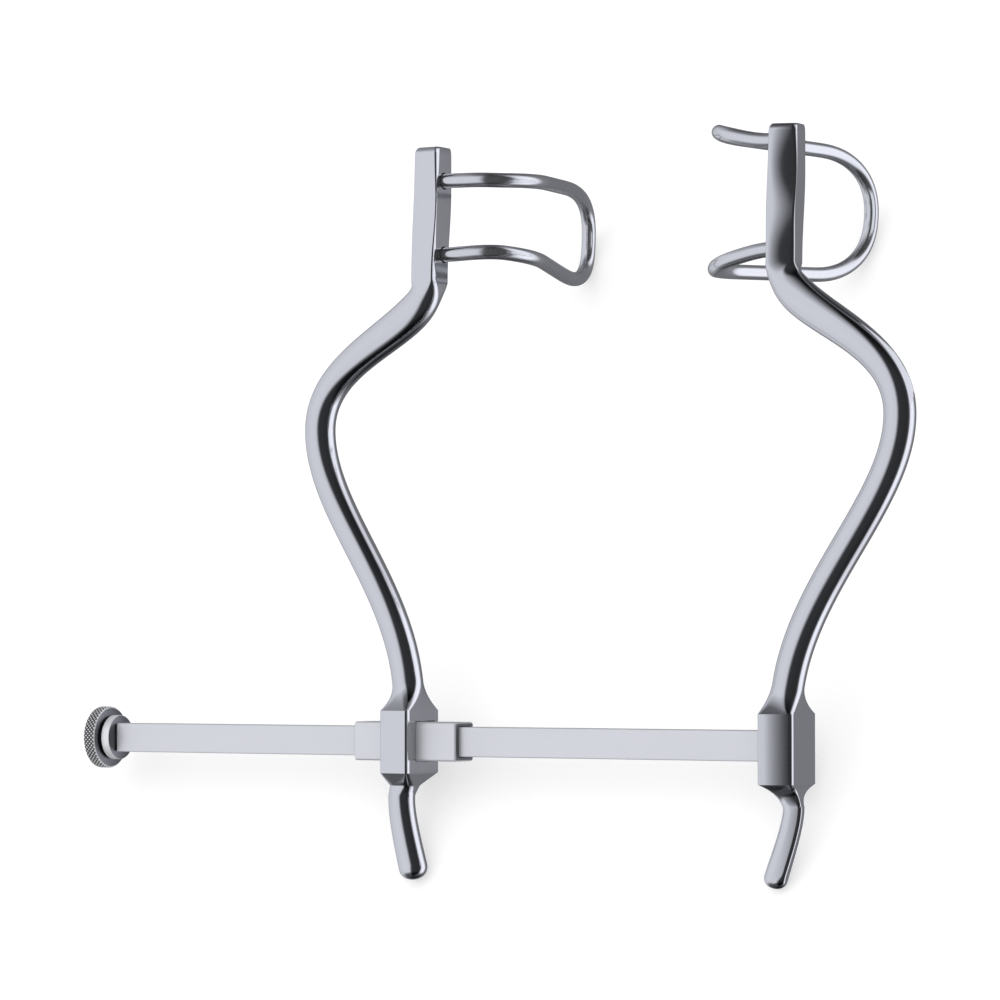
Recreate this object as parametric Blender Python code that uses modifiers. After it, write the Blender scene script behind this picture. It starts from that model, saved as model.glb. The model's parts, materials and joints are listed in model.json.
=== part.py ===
"""Self-retaining abdominal retractor with wire blades, for Blender 4.5. Metres, +Z up.

Two lyre-shaped arms stand on a rectangular rail. The fixed arm closes one end of the rail, the
sliding arm rides along it on a brazed sleeve, and a knurled end screw stops the sleeve at the
other end. Each arm carries a bent wire loop, the blade, that hangs below the frame.

The pieces are made in the frame's own axes: X runs along the rail with the fixed arm at +X, Y
runs from the rail to the arm tips, and Z stands out of the frame on the side away from the
blades. An empty then leans the whole frame back, so that it rests on its two blades and its two
handles as it does on a table.
"""

import math

import bmesh
import bpy
from mathutils import Matrix, Vector

MM = 0.001

# Setting of the retractor, and the rail that it slides on
OPENING = 100 * MM  # between the inner faces of the arm tips, as it is set
TRAVEL_TO_OPEN = 80 * MM  # what the sliding arm can still move away from the fixed arm
RAIL_HEIGHT = 8.0 * MM
RAIL_THICKNESS = 5.7 * MM
RAIL_EDGE = 0.35 * MM
RAIL_SETBACK = 1.1 * MM  # the rail lies this far behind the middle of the arms' boxes

# Arms: box on the rail, round rod, flat tip and finger handle
BOX_WIDTH = 8.9 * MM
BOX_DEPTH = 16.6 * MM
BOX_ABOVE = 8.3 * MM  # from the rail's middle to the box's shoulder
SLIDING_BOX_BELOW = 8.5 * MM
FIXED_BOX_BELOW = 9.8 * MM  # the two forgings were finished by hand, so they differ a little
BOX_CORNER = 1.0 * MM
SHOULDER = 7.5 * MM  # length over which the box runs into the rod
ROD = 8.4 * MM
ARM_HEIGHT = 161.5 * MM  # from the rail's middle to the top of the tip
BULGE_HEIGHT = 85 * MM
BULGE_OUT = 30.8 * MM  # how far the rod swings outwards at its widest
BULGE_BEND_BELOW = 23.7 * MM  # pull of the curve below and above the bulge
BULGE_BEND_ABOVE = 21.6 * MM
FOOT_BEND = 31.6 * MM  # pull of the curve where it leaves the box
NECK_HEIGHT = 125.5 * MM  # where the rod has become the straight tip
NECK_BEND = 14.2 * MM
ROUND_SHARE = 0.72  # share of the upper bend that stays round before it flattens into the tip
TIP_WIDTH = 7.4 * MM
TIP_DEPTH = 8.2 * MM
TIP_INSET = 3.1 * MM  # the tip stands this far inboard of its box
TIP_CORNER = 1.2 * MM
TIP_END = 2.2 * MM  # rounding between the tip's front and its top
NECK_SWELL = 3.6 * MM  # extra width where the rod bends into the tip, and mostly inboard
BULGE_SINK = 3.5 * MM  # how far behind the box the rod lies at the bulge
NECK_SINK = 5.2 * MM
TIP_SINK = 7.1 * MM
FIXED_FALL = 2.3 * MM  # drop of the fixed arm's front face from its inner to its outer side
SLIDING_FALL = 0.0
FALL_POWER = 1.4  # 1 is a straight slope, and more starts flatter

# Finger handles below the boxes
HANDLE_SHOULDER = 6.0 * MM
FIXED_SHOULDER_POWER = 2.8  # 1 is a straight chamfer, and more is hollower
SLIDING_SHOULDER_POWER = 2.2
HANDLE_ROOT_OUT = 2.2 * MM  # the handles leave the boxes this far outboard of their middle
FIXED_HANDLE_DROP = 36.5 * MM  # from the rail's middle to the handle's end
FIXED_HANDLE_ROOT = 5.5 * MM
FIXED_HANDLE_END = 6.2 * MM
FIXED_HANDLE_IN = 3.5 * MM  # the handle ends this far inboard of the box's middle
FIXED_HANDLE_RISE = 0.5 * MM  # and this far in front of it
SLIDING_HANDLE_DROP = 37.1 * MM
SLIDING_HANDLE_ROOT = 7.2 * MM
SLIDING_HANDLE_END = 7.7 * MM
SLIDING_HANDLE_IN = 3.1 * MM
SLIDING_HANDLE_RISE = 1.4 * MM
HANDLE_OUTER_CORNER = 1.8 * MM  # the fixed arm's handle has a flat outer side

# Sleeve that carries the sliding arm
SLEEVE_LENGTH = 32.2 * MM
SLEEVE_SHIFT = 0.8 * MM  # its middle lies this far inboard of the box's middle
SLEEVE_WALL_SIDE = 1.65 * MM
SLEEVE_WALL_EDGE = 1.0 * MM
SLEEVE_CORNER = 0.7 * MM
SLIDE_CLEARANCE = 0.25 * MM

# Wire blades
WIRE = 4.0 * MM
BLADE_BEND = 9.35 * MM  # radius at which a leg starts to bend down
BLADE_BEND_TURN = math.radians(60)  # after this much turn the bend opens out
BLADE_LOWER_BEND = 22 * MM  # to this radius
BLADE_DEPTH = 72 * MM  # from the holes down to the foot
BLADE_SEAT = 4.5 * MM  # depth of the blind holes in the tips
NARROW_BELOW_TOP = 19.4 * MM  # from the tip's top to the middle between the legs
NARROW_LEGS = 20.1 * MM  # between the legs' centres at the sliding arm's holes
NARROW_FLARE = 16.8 * MM  # run over which the legs change to their distance in the bend
NARROW_BEND = 19.5 * MM  # between them after that run
NARROW_SPREAD = 27.6 * MM  # between them at the foot, before it rounds over
NARROW_ROUND = 32.8 * MM
NARROW_FULLNESS = 2.8  # 2 is an ellipse, and more is squarer
NARROW_REACH = 8.6 * MM  # straight run from the tip's face before the wire bends down
NARROW_LEAN = math.radians(15.4)  # from the bend the wire leans back under its own arm
NARROW_DRIFT = -0.9 * MM  # the foot ends this far nearer the tips' tops
NARROW_TWIST = math.radians(-2)  # the hand-bent loop is turned this much about its depth
WIDE_BELOW_TOP = 18.4 * MM
WIDE_LEGS = 28.3 * MM
WIDE_FLARE = 23.9 * MM
WIDE_BEND = 36.2 * MM
WIDE_SPREAD = 32.7 * MM
WIDE_ROUND = 22.2 * MM
WIDE_FULLNESS = 2.3
WIDE_REACH = 10.8 * MM
WIDE_LEAN = math.radians(16.7)
WIDE_DRIFT = 0.7 * MM
WIDE_TWIST = math.radians(3.3)

# Knurled end screw
KNOB = 17.3 * MM
KNOB_THICKNESS = 3.8 * MM
KNOB_EDGE = 0.4 * MM
BOSS = 12.4 * MM
BOSS_LENGTH = 2.6 * MM
NECK = 8.6 * MM
NECK_LENGTH = 0.8 * MM
SCREW = 4.0 * MM
SCREW_LENGTH = 9.0 * MM

# Gaps between neighbouring solids
SEAT_GAP = 0.3 * MM
STOP_GAP = 0.4 * MM
POCKET_WALL = 1.6 * MM  # left behind the rail in the fixed arm's box

# Fineness of the meshes
CORNER_STEPS = 4
BEND_STEPS = 13
LOWER_BEND_STEPS = 18  # the rod's long bend out to the bulge
END_STEPS = 5  # rings that round off a handle, a shoulder or a tip
ROUND_SIDES = 32
LEG_BEND_STEPS = 5
LOWER_LEG_STEPS = 4
FOOT_STEPS = 12

# Places that follow from the sizes
BOX_X = OPENING / 2 + TIP_WIDTH / 2 + TIP_INSET
SLEEVE_DEPTH = RAIL_THICKNESS + 2 * (SLIDE_CLEARANCE + SLEEVE_WALL_SIDE)
SLEEVE_HEIGHT = RAIL_HEIGHT + 2 * (SLIDE_CLEARANCE + SLEEVE_WALL_EDGE)
SLEEVE_X = BOX_X - SLEEVE_SHIFT
RAIL_FREE_END = -SLEEVE_X - SLEEVE_LENGTH / 2 - TRAVEL_TO_OPEN - STOP_GAP + SEAT_GAP
RAIL_HELD_END = BOX_X + BOX_WIDTH / 2 - POCKET_WALL - SEAT_GAP


def clear_scene():
    """Empties the startup scene."""
    for item in list(bpy.data.objects):
        bpy.data.objects.remove(item, do_unlink=True)


def new_collection(name):
    """A collection linked to the scene."""
    collection = bpy.data.collections.new(name)
    bpy.context.scene.collection.children.link(collection)
    return collection


def steel(name, colour, roughness):
    """Principled stainless steel."""
    material = bpy.data.materials.new(name)
    material.use_nodes = True
    shader = material.node_tree.nodes["Principled BSDF"]
    shader.inputs["Base Color"].default_value = (*colour, 1.0)
    shader.inputs["Metallic"].default_value = 1.0
    shader.inputs["Roughness"].default_value = roughness
    return material


def mesh_object(name, work, collection, material):
    """Object from a bmesh, shaded smooth with its hard edges kept."""
    bmesh.ops.recalc_face_normals(work, faces=work.faces)
    mesh = bpy.data.meshes.new(name)
    work.to_mesh(mesh)
    work.free()
    mesh.shade_smooth()
    mesh.set_sharp_from_angle(angle=math.radians(35))
    mesh.materials.append(material)
    made = bpy.data.objects.new(name, mesh)
    collection.objects.link(made)
    return made


def block(name, low, high, collection, material):
    """Rectangular solid between two corners."""
    work = bmesh.new()
    bmesh.ops.create_cube(work, size=1.0)
    size = Vector(high) - Vector(low)
    bmesh.ops.scale(work, vec=size, verts=work.verts)
    bmesh.ops.translate(work, vec=(Vector(low) + Vector(high)) / 2, verts=work.verts)
    return mesh_object(name, work, collection, material)


def peg(name, start, length, radius, collection, material):
    """Round solid that runs along +X from the point start."""
    work = bmesh.new()
    bmesh.ops.create_cone(
        work,
        cap_ends=True,
        segments=ROUND_SIDES,
        radius1=radius,
        radius2=radius,
        depth=length,
        matrix=Matrix.Rotation(math.pi / 2, 4, "Y"),
    )
    middle = Vector(start) + Vector((length / 2, 0, 0))
    bmesh.ops.translate(work, vec=middle, verts=work.verts)
    return mesh_object(name, work, collection, material)


def bevel(target, width, segments=2):
    """Rounded edges."""
    modifier = target.modifiers.new("rounded edges", "BEVEL")
    modifier.width = width
    modifier.segments = segments
    modifier.limit_method = "ANGLE"
    modifier.angle_limit = math.radians(40)


def cut(target, tool):
    """Takes the tool's shape away from the target and hides the tool."""
    tool.hide_render = True
    tool.display_type = "WIRE"
    modifier = target.modifiers.new("cut for " + tool.name, "BOOLEAN")
    modifier.operation = "DIFFERENCE"
    modifier.object = tool


def bezier(points, t):
    """Point at t on the cubic curve of four control points."""
    a, b, c, d = (Vector(point) for point in points)
    s = 1 - t
    return a * s**3 + b * (3 * s * s * t) + c * (3 * s * t * t) + d * t**3


def ease(t):
    """Smooth step from 0 to 1."""
    t = min(max(t, 0.0), 1.0)
    return t * t * (3 - 2 * t)


def mix(a, b, t):
    """Value between a and b."""
    return a + (b - a) * t


class Station:
    """One cross-section of an arm: its middle, its size and the roundness of its corners."""

    def __init__(self, middle, half_width, half_depth, inner, outer, fall=0.0):
        self.middle = Vector(middle)
        self.half_width = half_width
        self.half_depth = half_depth
        most = min(half_width, half_depth) * 0.999
        self.inner = min(inner, most)
        self.outer = min(outer, most)
        self.fall = fall
        self.heading = Vector((0, 1, 0))

    def outline(self):
        """Points round the section, as (outboard, up) pairs, counter-clockwise from the outer side."""
        corners = (
            (1, 1, self.outer, 0.0),
            (-1, 1, self.inner, 0.5),
            (-1, -1, self.inner, 1.0),
            (1, -1, self.outer, 1.5),
        )
        points = []
        for across, up, radius, start in corners:
            middle_x = across * (self.half_width - radius)
            middle_z = up * (self.half_depth - radius)
            for step in range(CORNER_STEPS + 1):
                angle = math.pi * (start + 0.5 * step / CORNER_STEPS)
                x = middle_x + radius * math.cos(angle)
                z = middle_z + radius * math.sin(angle)
                points.append((x, z))
            if (across, up) == (1, 1):
                flat_start = self.half_width - self.outer
                flat_end = self.inner - self.half_width
                for share in (0.25, 0.5, 0.75):
                    points.append((mix(flat_start, flat_end, share), self.half_depth))
        return [(x, z - self.drop(x, z)) for x, z in points]

    def drop(self, x, z):
        """How far the front side drops at one point, from the inner to the outer side."""
        outwards = (x / self.half_width + 1) / 2
        return self.fall * outwards**FALL_POWER * max(z, 0.0) / self.half_depth


class Make:
    """Sizes in which one arm differs from the other."""

    def __init__(self, side, box_below, fall, shoulder_power):
        self.side = side
        self.box_below = box_below
        self.fall = fall
        self.shoulder_power = shoulder_power

    def handle(self, drop, root, end, end_in, rise):
        """Adds how the finger handle runs and how thick it is at its root and its end."""
        self.drop = drop
        self.root = root
        self.end = end
        self.end_in = end_in
        self.rise = rise
        return self


FIXED = Make(1, FIXED_BOX_BELOW, FIXED_FALL, FIXED_SHOULDER_POWER).handle(
    FIXED_HANDLE_DROP, FIXED_HANDLE_ROOT, FIXED_HANDLE_END, FIXED_HANDLE_IN, FIXED_HANDLE_RISE
)
SLIDING = Make(-1, SLIDING_BOX_BELOW, SLIDING_FALL, SLIDING_SHOULDER_POWER).handle(
    SLIDING_HANDLE_DROP,
    SLIDING_HANDLE_ROOT,
    SLIDING_HANDLE_END,
    SLIDING_HANDLE_IN,
    SLIDING_HANDLE_RISE,
)


def handle_stations(make):
    """From the handle's round end up to the box."""
    root_y = -make.box_below - HANDLE_SHOULDER
    path = (
        (-make.end_in, -make.drop, make.rise),
        (-make.end_in * 0.6, mix(-make.drop, root_y, 0.25), make.rise),
        (HANDLE_ROOT_OUT, mix(-make.drop, root_y, 0.73), make.rise * 0.5),
        (HANDLE_ROOT_OUT, root_y, 0),
    )
    end_share = make.end / 2 / (make.drop + root_y)
    places = []
    for step in range(1, END_STEPS + 1):
        angle = math.pi / 2 * step / END_STEPS
        places.append((end_share * (1 - math.cos(angle)), math.sin(angle)))
    straight_steps = BEND_STEPS - END_STEPS
    for step in range(1, straight_steps + 1):
        places.append((mix(end_share, 1.0, step / straight_steps), 1.0))
    flat_corner = HANDLE_OUTER_CORNER if make.side > 0 else make.root / 2
    stations = []
    for t, grow in places:
        half = mix(make.end, make.root, ease(t)) / 2
        outer = mix(half, flat_corner, ease(t * 4)) * grow
        stations.append(Station(bezier(path, t), half * grow, half * grow, half * grow, outer))
    for step in range(1, END_STEPS + 1):
        t = step / (END_STEPS + 1)
        bulk = t**make.shoulder_power
        stations.append(
            Station(
                (mix(HANDLE_ROOT_OUT, 0, t), root_y + HANDLE_SHOULDER * t, 0),
                mix(make.root, BOX_WIDTH, bulk) / 2,
                mix(make.root, BOX_DEPTH, bulk) / 2,
                mix(make.root / 2, BOX_CORNER, t),
                mix(flat_corner, BOX_CORNER, t),
                make.fall * t,
            )
        )
    return stations


def box_stations(make):
    """The straight box that sits on the rail."""
    half = (BOX_WIDTH / 2, BOX_DEPTH / 2)
    stations = []
    for y in (-make.box_below, BOX_ABOVE):
        stations.append(Station((0, y, 0), *half, BOX_CORNER, BOX_CORNER, make.fall))
    return stations


def rod_path():
    """Control points of the rod's two bends, seen from the box: outboard, along the arm and up."""
    foot = BOX_ABOVE
    sink = -BULGE_SINK
    lower = (
        (0, foot, 0),
        (0, foot + FOOT_BEND, sink * 0.45),
        (BULGE_OUT, BULGE_HEIGHT - BULGE_BEND_BELOW, sink),
        (BULGE_OUT, BULGE_HEIGHT, sink),
    )
    upper = (
        (BULGE_OUT, BULGE_HEIGHT, sink),
        (BULGE_OUT, BULGE_HEIGHT + BULGE_BEND_ABOVE, sink),
        (-TIP_INSET, NECK_HEIGHT - NECK_BEND, mix(sink, -NECK_SINK, 0.7)),
        (-TIP_INSET, NECK_HEIGHT, -NECK_SINK),
    )
    return lower, upper


def rod_stations(fall):
    """Round rod from the box's shoulder through the bulge to the neck."""
    lower, upper = rod_path()
    stations = []
    for step in range(1, LOWER_BEND_STEPS + 1):
        # The power draws the rings together near the box, where the section changes fastest
        middle = bezier(lower, (step / LOWER_BEND_STEPS) ** 1.35)
        bulk = max(0.0, 1 - (middle.y - BOX_ABOVE) / SHOULDER) ** 2
        corner = mix(ROD / 2, BOX_CORNER, math.sqrt(bulk))
        stations.append(
            Station(
                middle,
                mix(ROD, BOX_WIDTH, bulk) / 2,
                mix(ROD, BOX_DEPTH, bulk) / 2,
                corner,
                corner,
                fall * bulk,
            )
        )
    for step in range(1, BEND_STEPS + 1):
        t = step / BEND_STEPS
        flat = ease((t - ROUND_SHARE) / (1 - ROUND_SHARE))
        corner = mix(ROD / 2, TIP_CORNER, flat)
        swell = NECK_SWELL * math.sin(math.pi * t) * t**2
        stations.append(
            Station(
                bezier(upper, t) - Vector((swell / 4, 0, 0)),
                (mix(ROD, TIP_WIDTH, flat) + swell) / 2,
                mix(ROD, TIP_DEPTH, flat) / 2,
                corner,
                corner,
                fall * flat,
            )
        )
    return stations


def tip_stations(fall):
    """Straight flat-sided tip with its rounded top."""
    top = ARM_HEIGHT
    stations = []
    tip_steps = 6
    for step in range(1, tip_steps + 1):
        t = step / tip_steps
        sink = mix(NECK_SINK, TIP_SINK, ease(t * 1.4))
        y = mix(NECK_HEIGHT, top - TIP_END, t)
        middle = (-TIP_INSET, y, -sink)
        half = (TIP_WIDTH / 2, TIP_DEPTH / 2)
        stations.append(Station(middle, *half, TIP_CORNER, TIP_CORNER, fall))
    for step in range(1, END_STEPS):
        angle = math.pi / 2 * step / (END_STEPS - 1)
        inward = TIP_END * (1 - math.cos(angle)) / 2
        middle = (-TIP_INSET, top - TIP_END * (1 - math.sin(angle)), -TIP_SINK - inward)
        half = (TIP_WIDTH / 2 - inward / 2, TIP_DEPTH / 2 - inward)
        stations.append(Station(middle, *half, TIP_CORNER, TIP_CORNER, fall))
    return stations


def arm(name, make, collection, material):
    """One forged arm: handle, box, rod and tip in one loft."""
    stations = handle_stations(make)
    straight_below = len(stations) - END_STEPS
    stations += box_stations(make)
    straight_above = len(stations)
    stations += rod_stations(make.fall) + tip_stations(make.fall)
    last = len(stations) - 1
    for place, station in enumerate(stations):
        if straight_below <= place < straight_above:
            continue
        before = stations[max(place - 1, 0)].middle
        after = stations[min(place + 1, last)].middle
        heading = after - before
        heading.z = 0
        if heading.length > 0:
            station.heading = heading.normalized()
    work = bmesh.new()
    rings = []
    for station in stations:
        outboard = Vector((station.heading.y, -station.heading.x, 0))
        ring = []
        for across, up in station.outline():
            point = station.middle + outboard * across + Vector((0, 0, up))
            ring.append(work.verts.new((make.side * (BOX_X + point.x), point.y, point.z)))
        rings.append(ring)
    count = len(rings[0])
    for below, above in zip(rings, rings[1:]):
        for place in range(count):
            beside = (place + 1) % count
            work.faces.new((below[place], below[beside], above[beside], above[place]))
    work.faces.new(rings[0])
    work.faces.new(rings[-1])
    return mesh_object(name, work, collection, material)


class Loop:
    """Sizes in which one wire loop differs from the other."""

    def __init__(self, below_top, legs, flare, bend, spread):
        self.middle_y = ARM_HEIGHT - below_top
        self.legs = legs
        self.flare = flare
        self.bend = bend
        self.spread = spread

    def shape(self, foot_round, fullness, reach, lean, drift, twist):
        """Adds how the loop is rounded, how far it reaches and how it is turned."""
        self.foot_round = foot_round
        self.fullness = fullness
        self.reach = reach
        self.lean = lean
        self.drift = drift
        self.twist = twist
        self.turn = math.pi / 2 + lean
        self.lower_start = reach + BLADE_BEND * BLADE_BEND_TURN
        self.bent = self.lower_start + BLADE_LOWER_BEND * (self.turn - BLADE_BEND_TURN)
        rest = BLADE_DEPTH - self.profile(self.bent)[1]
        self.whole = self.bent + rest / math.cos(lean)
        return self

    def profile(self, run):
        """Place on a leg, seen from the side: inboard of the tip's face and down, run along it."""
        first = min(max(run - self.reach, 0.0) / BLADE_BEND, BLADE_BEND_TURN)
        angle = first + max(run - self.lower_start, 0.0) / BLADE_LOWER_BEND
        angle = min(angle, self.turn)
        rest = max(run - self.bent, 0.0)
        inboard = min(run, self.reach) + BLADE_BEND * math.sin(first)
        inboard += BLADE_LOWER_BEND * (math.sin(angle) - math.sin(first))
        inboard -= rest * math.sin(self.lean)
        down = BLADE_BEND * (1 - math.cos(first))
        down += BLADE_LOWER_BEND * (math.cos(first) - math.cos(angle))
        down += rest * math.cos(self.lean)
        return inboard, down

    def apart(self, run):
        """Distance between the legs, before the foot rounds them over."""
        if run < self.flare:
            return mix(self.legs, self.bend, ease(run / self.flare))
        return mix(self.bend, self.spread, (run - self.flare) / (self.whole - self.flare))

    def path(self):
        """Middle line of the loop: inboard of the tip's face, along the arm, up."""
        runs = [(SEAT_GAP - BLADE_SEAT, 1.0)]
        runs += [(self.reach * share, 1.0) for share in (0.0, 0.35, 0.7, 1.0)]
        for step in range(1, LEG_BEND_STEPS + 1):
            runs.append((mix(self.reach, self.lower_start, step / LEG_BEND_STEPS), 1.0))
        for step in range(1, LOWER_LEG_STEPS + 1):
            runs.append((mix(self.lower_start, self.bent, step / LOWER_LEG_STEPS), 1.0))
        straight_end = self.whole - self.foot_round
        runs.append((mix(self.bent, straight_end, 0.5), 1.0))
        for step in range(FOOT_STEPS + 1):
            angle = math.pi / 2 * step / FOOT_STEPS
            along = math.sin(angle) ** (2 / self.fullness)
            narrowing = max(math.cos(angle), 0.0) ** (2 / self.fullness)
            runs.append((mix(straight_end, self.whole, along), narrowing))
        half = [(run, self.apart(run) / 2 * narrowing) for run, narrowing in runs]
        other = [(run, -along) for run, along in reversed(half[:-1])]
        points = []
        for run, along in half + other:
            inboard, down = self.profile(run)
            turned = math.sin(self.twist) * along * ease(run / self.bent)
            drifted = self.drift * down / BLADE_DEPTH
            points.append(Vector((inboard - turned, along + drifted, -down)))
        return points


NARROW = Loop(NARROW_BELOW_TOP, NARROW_LEGS, NARROW_FLARE, NARROW_BEND, NARROW_SPREAD).shape(
    NARROW_ROUND, NARROW_FULLNESS, NARROW_REACH, NARROW_LEAN, NARROW_DRIFT, NARROW_TWIST
)
WIDE = Loop(WIDE_BELOW_TOP, WIDE_LEGS, WIDE_FLARE, WIDE_BEND, WIDE_SPREAD).shape(
    WIDE_ROUND, WIDE_FULLNESS, WIDE_REACH, WIDE_LEAN, WIDE_DRIFT, WIDE_TWIST
)


def blade(name, side, loop, collection, material):
    """Wire loop with both ends in its arm's holes."""
    face_x = OPENING / 2
    data = bpy.data.curves.new(name, "CURVE")
    data.dimensions = "3D"
    spline = data.splines.new("POLY")
    path = loop.path()
    spline.points.add(len(path) - 1)
    for point, place in zip(spline.points, path):
        x = side * (face_x - place.x)
        point.co = (x, loop.middle_y + place.y, place.z - TIP_SINK, 1.0)
    data.bevel_depth = WIRE / 2
    data.bevel_resolution = 3
    data.use_fill_caps = True
    data.materials.append(material)
    made = bpy.data.objects.new(name, data)
    collection.objects.link(made)
    return made


def blade_holes(target, side, loop, cutters, material):
    """Two blind holes in the tip's inner face."""
    radius = WIRE / 2 + SEAT_GAP
    for sign in (-1, 1):
        start_x = OPENING / 2 - SEAT_GAP if side > 0 else -OPENING / 2 - BLADE_SEAT
        hole = peg(
            f"{target.name}_hole_{'lower' if sign < 0 else 'upper'}",
            (start_x, loop.middle_y + sign * loop.legs / 2, -TIP_SINK),
            BLADE_SEAT + SEAT_GAP,
            radius,
            cutters,
            material,
        )
        cut(target, hole)


def rail(collection, cutters, material):
    """Rectangular rail, bored at its free end for the end screw."""
    low = (RAIL_FREE_END, -RAIL_HEIGHT / 2, -RAIL_SETBACK - RAIL_THICKNESS / 2)
    high = (RAIL_HELD_END, RAIL_HEIGHT / 2, -RAIL_SETBACK + RAIL_THICKNESS / 2)
    made = block("rail", low, high, collection, material)
    bevel(made, RAIL_EDGE)
    start = (RAIL_FREE_END - SEAT_GAP, 0, -RAIL_SETBACK)
    depth = SCREW_LENGTH + 2 * SEAT_GAP
    bore = peg("rail_bore", start, depth, SCREW / 2 + SEAT_GAP, cutters, material)
    cut(made, bore)
    return made


def sleeve(collection, cutters, material):
    """Rectangular tube that slides on the rail."""
    left = -SLEEVE_X - SLEEVE_LENGTH / 2
    right = -SLEEVE_X + SLEEVE_LENGTH / 2
    half_z = SLEEVE_DEPTH / 2
    low = (left, -SLEEVE_HEIGHT / 2, -RAIL_SETBACK - half_z)
    high = (right, SLEEVE_HEIGHT / 2, -RAIL_SETBACK + half_z)
    made = block("slide_sleeve", low, high, collection, material)
    bevel(made, SLEEVE_CORNER)
    half_y = RAIL_HEIGHT / 2 + SLIDE_CLEARANCE
    half_z = RAIL_THICKNESS / 2 + SLIDE_CLEARANCE
    low = (left - SLEEVE_WALL_SIDE, -half_y, -RAIL_SETBACK - half_z)
    high = (right + SLEEVE_WALL_SIDE, half_y, -RAIL_SETBACK + half_z)
    cut(made, block("sleeve_bore", low, high, cutters, material))
    return made


def end_screw(collection, material):
    """Knurled head, neck, boss and plain shank of the end screw, turned round the rail's axis."""
    back = KNOB_THICKNESS + NECK_LENGTH + BOSS_LENGTH
    outline = (
        (back + SCREW_LENGTH, 0.0),
        (back + SCREW_LENGTH, SCREW / 2),
        (back, SCREW / 2),
        (back, BOSS / 2 - KNOB_EDGE),
        (back - KNOB_EDGE, BOSS / 2),
        (KNOB_THICKNESS + NECK_LENGTH, BOSS / 2),
        (KNOB_THICKNESS + NECK_LENGTH, NECK / 2),
        (KNOB_THICKNESS, NECK / 2),
        (KNOB_THICKNESS, KNOB / 2 - KNOB_EDGE),
        (KNOB_THICKNESS - KNOB_EDGE, KNOB / 2),
        (KNOB_EDGE, KNOB / 2),
        (0.0, KNOB / 2 - KNOB_EDGE),
        (0.0, 0.0),
    )
    mesh = bpy.data.meshes.new("end_screw")
    corners = [(radius, 0.0, height) for height, radius in outline]
    edges = [(place, place + 1) for place in range(len(corners) - 1)]
    mesh.from_pydata(corners, edges, [])
    mesh.materials.append(material)
    made = bpy.data.objects.new("end_screw", mesh)
    collection.objects.link(made)
    turn = made.modifiers.new("turned", "SCREW")
    turn.axis = "Z"
    turn.steps = ROUND_SIDES
    turn.render_steps = ROUND_SIDES
    turn.use_merge_vertices = True
    turn.merge_threshold = 0.00001
    turn.use_smooth_shade = True
    made.rotation_euler = (0, math.pi / 2, 0)
    made.location = (RAIL_FREE_END - SEAT_GAP - back, 0, -RAIL_SETBACK)
    return made


def points_of(pieces):
    """Corner points of the pieces as they are evaluated, in world space."""
    bpy.context.view_layer.update()
    graph = bpy.context.evaluated_depsgraph_get()
    found = []
    for piece in pieces:
        evaluated = piece.evaluated_get(graph)
        mesh = evaluated.to_mesh()
        found += [evaluated.matrix_world @ vertex.co for vertex in mesh.vertices]
        evaluated.to_mesh_clear()
    return found


def resting_lean(handle_points, foot_points):
    """Angle by which the frame leans back when its handles and its blades stand level."""

    def unevenness(angle):
        def lowest(points):
            return min(p.y * math.sin(angle) + p.z * math.cos(angle) for p in points)

        return lowest(foot_points) - lowest(handle_points)

    flat, steep = 0.0, math.radians(60)
    for _ in range(40):
        middle = (flat + steep) / 2
        if unevenness(middle) < 0:
            flat = middle
        else:
            steep = middle
    return (flat + steep) / 2


def stand_on_table(pieces, arms, blades):
    """Parents every piece to an empty that leans and lifts the frame onto Z = 0."""
    angle = resting_lean(points_of(arms), points_of(blades))
    stand = bpy.data.objects.new("stand", None)
    bpy.context.scene.collection.objects.link(stand)
    stand.rotation_euler = (angle, 0, 0)
    for piece in pieces:
        piece.parent = stand
    points = points_of([piece for piece in pieces if not piece.hide_render])
    low = [min(point[axis] for point in points) for axis in range(3)]
    high = [max(point[axis] for point in points) for axis in range(3)]
    stand.location = (-(low[0] + high[0]) / 2, -(low[1] + high[1]) / 2, -low[2])


def main():
    clear_scene()
    parts = new_collection("retractor")
    cutters = new_collection("cutters")
    polished = steel("polished_steel", (0.63, 0.63, 0.65), 0.18)
    satin = steel("satin_steel", (0.60, 0.60, 0.63), 0.38)

    fixed_arm = arm("fixed_arm", FIXED, parts, polished)
    pocket_low = (BOX_X - BOX_WIDTH / 2 - SEAT_GAP, -RAIL_HEIGHT / 2 - SEAT_GAP)
    pocket_high = (RAIL_HELD_END + SEAT_GAP, RAIL_HEIGHT / 2 + SEAT_GAP)
    half_z = RAIL_THICKNESS / 2 + SEAT_GAP
    pocket = block(
        "fixed_arm_pocket",
        (*pocket_low, -RAIL_SETBACK - half_z),
        (*pocket_high, -RAIL_SETBACK + half_z),
        cutters,
        polished,
    )
    cut(fixed_arm, pocket)
    blade_holes(fixed_arm, 1, WIDE, cutters, polished)

    sliding_arm = arm("sliding_arm", SLIDING, parts, polished)
    half_x = BOX_WIDTH / 2 + SEAT_GAP
    half_y = SLEEVE_HEIGHT / 2 + SEAT_GAP
    half_z = SLEEVE_DEPTH / 2 + SEAT_GAP
    slot = block(
        "sliding_arm_slot",
        (-BOX_X - half_x, -half_y, -RAIL_SETBACK - half_z),
        (-BOX_X + half_x, half_y, -RAIL_SETBACK + half_z),
        cutters,
        polished,
    )
    cut(sliding_arm, slot)
    blade_holes(sliding_arm, -1, NARROW, cutters, polished)

    rail(parts, cutters, satin)
    sleeve(parts, cutters, satin)
    end_screw(parts, polished)
    wide = blade("fixed_blade", 1, WIDE, parts, polished)
    narrow = blade("sliding_blade", -1, NARROW, parts, polished)

    pieces = list(parts.objects) + list(cutters.objects)
    stand_on_table(pieces, (fixed_arm, sliding_arm), (wide, narrow))


main()
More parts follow.
